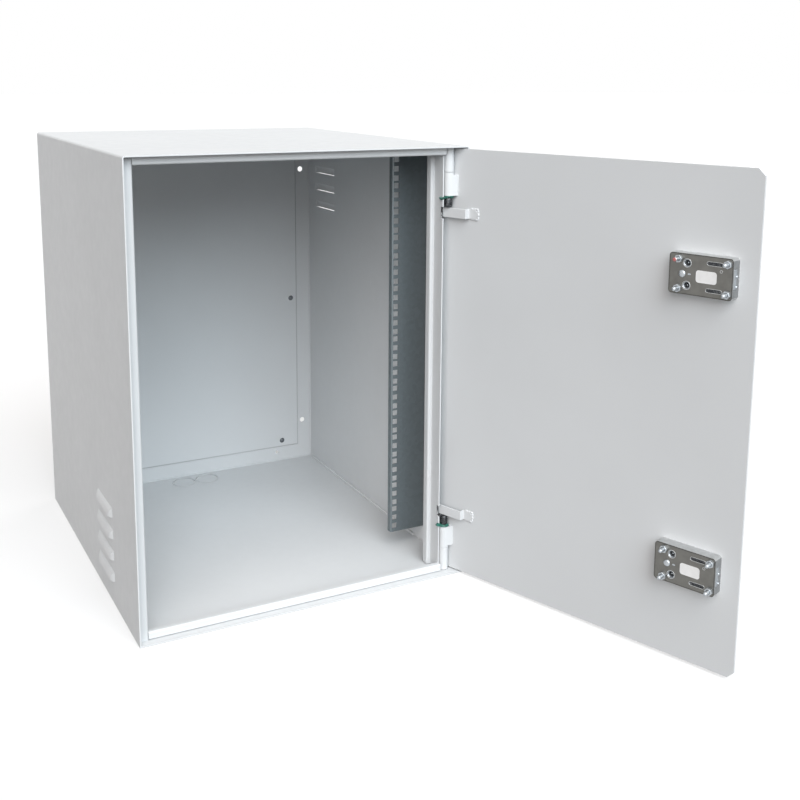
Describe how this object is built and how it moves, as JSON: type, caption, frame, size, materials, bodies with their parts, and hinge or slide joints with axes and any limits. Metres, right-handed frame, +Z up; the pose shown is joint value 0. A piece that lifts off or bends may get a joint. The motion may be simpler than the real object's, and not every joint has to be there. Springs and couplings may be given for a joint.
{
  "type": "lockable rack cabinet",
  "caption": "Box-shaped steel rack cabinet with a lift-off inset door on pin hinges, rim locks, square-hole rack rails, louvred sides and a rear flange for fixing to a wall.",
  "frame": {"origin": "underside of the floor, in the middle of the body without its open door", "axes": "+Z up, front opening towards -Y, hinges on the +X side"},
  "size_m": [0.7254, 1.1216, 0.728],
  "materials": {
    "grey_coat": "fine-textured light grey powder coat",
    "zinc": "bright galvanised",
    "lock_zinc": "dull olive-grey plating",
    "dark_steel": "blackened",
    "green_plastic": "matt"
  },
  "bodies": {
    "cabinet": {"wrapper": "grey_coat", "floor_sheet": "grey_coat", "left_stop": "grey_coat", "top_stop": "grey_coat", "sill_stop": "grey_coat", "hinge_jamb": "grey_coat", "back_panel": "grey_coat", "back_panel_screws": "zinc", "left_rail": "zinc", "right_rail": "zinc", "rail_studs": "zinc", "rail_nuts": "zinc", "upper_frame_knuckle": "grey_coat", "lower_frame_knuckle": "grey_coat"},
    "door": {"door_leaf": "grey_coat", "upper_door_knuckle": "grey_coat", "lower_door_knuckle": "grey_coat", "upper_hinge_pin": "dark_steel", "lower_hinge_pin": "dark_steel", "upper_pin_collar": "green_plastic", "lower_pin_collar": "green_plastic", "upper_pin_keeper": "grey_coat", "lower_pin_keeper": "grey_coat", "upper_lock_case": "lock_zinc", "lower_lock_case": "lock_zinc", "upper_lock_studs": "zinc", "lower_lock_studs": "zinc", "upper_lock_nuts": "zinc", "lower_lock_nuts": "zinc"},
    "upper_bolt": {"upper_lock_bolt": "zinc"},
    "lower_bolt": {"lower_lock_bolt": "zinc"}
  },
  "joints": [
    {"name": "door_swing", "type": "hinge", "parent": "cabinet", "child": "door", "pos_m": [0.2535, -0.3025, 0], "axis": [0, 0, 1], "range_deg": [-109.5, 1.5]},
    {"name": "upper_bolt_throw", "type": "slide", "parent": "door", "child": "upper_bolt", "axis": [0.3338, -0.9426, 0], "range_m": [0, 0.026]},
    {"name": "lower_bolt_throw", "type": "slide", "parent": "door", "child": "lower_bolt", "axis": [0.3338, -0.9426, 0], "range_m": [0, 0.026]}
  ]
}
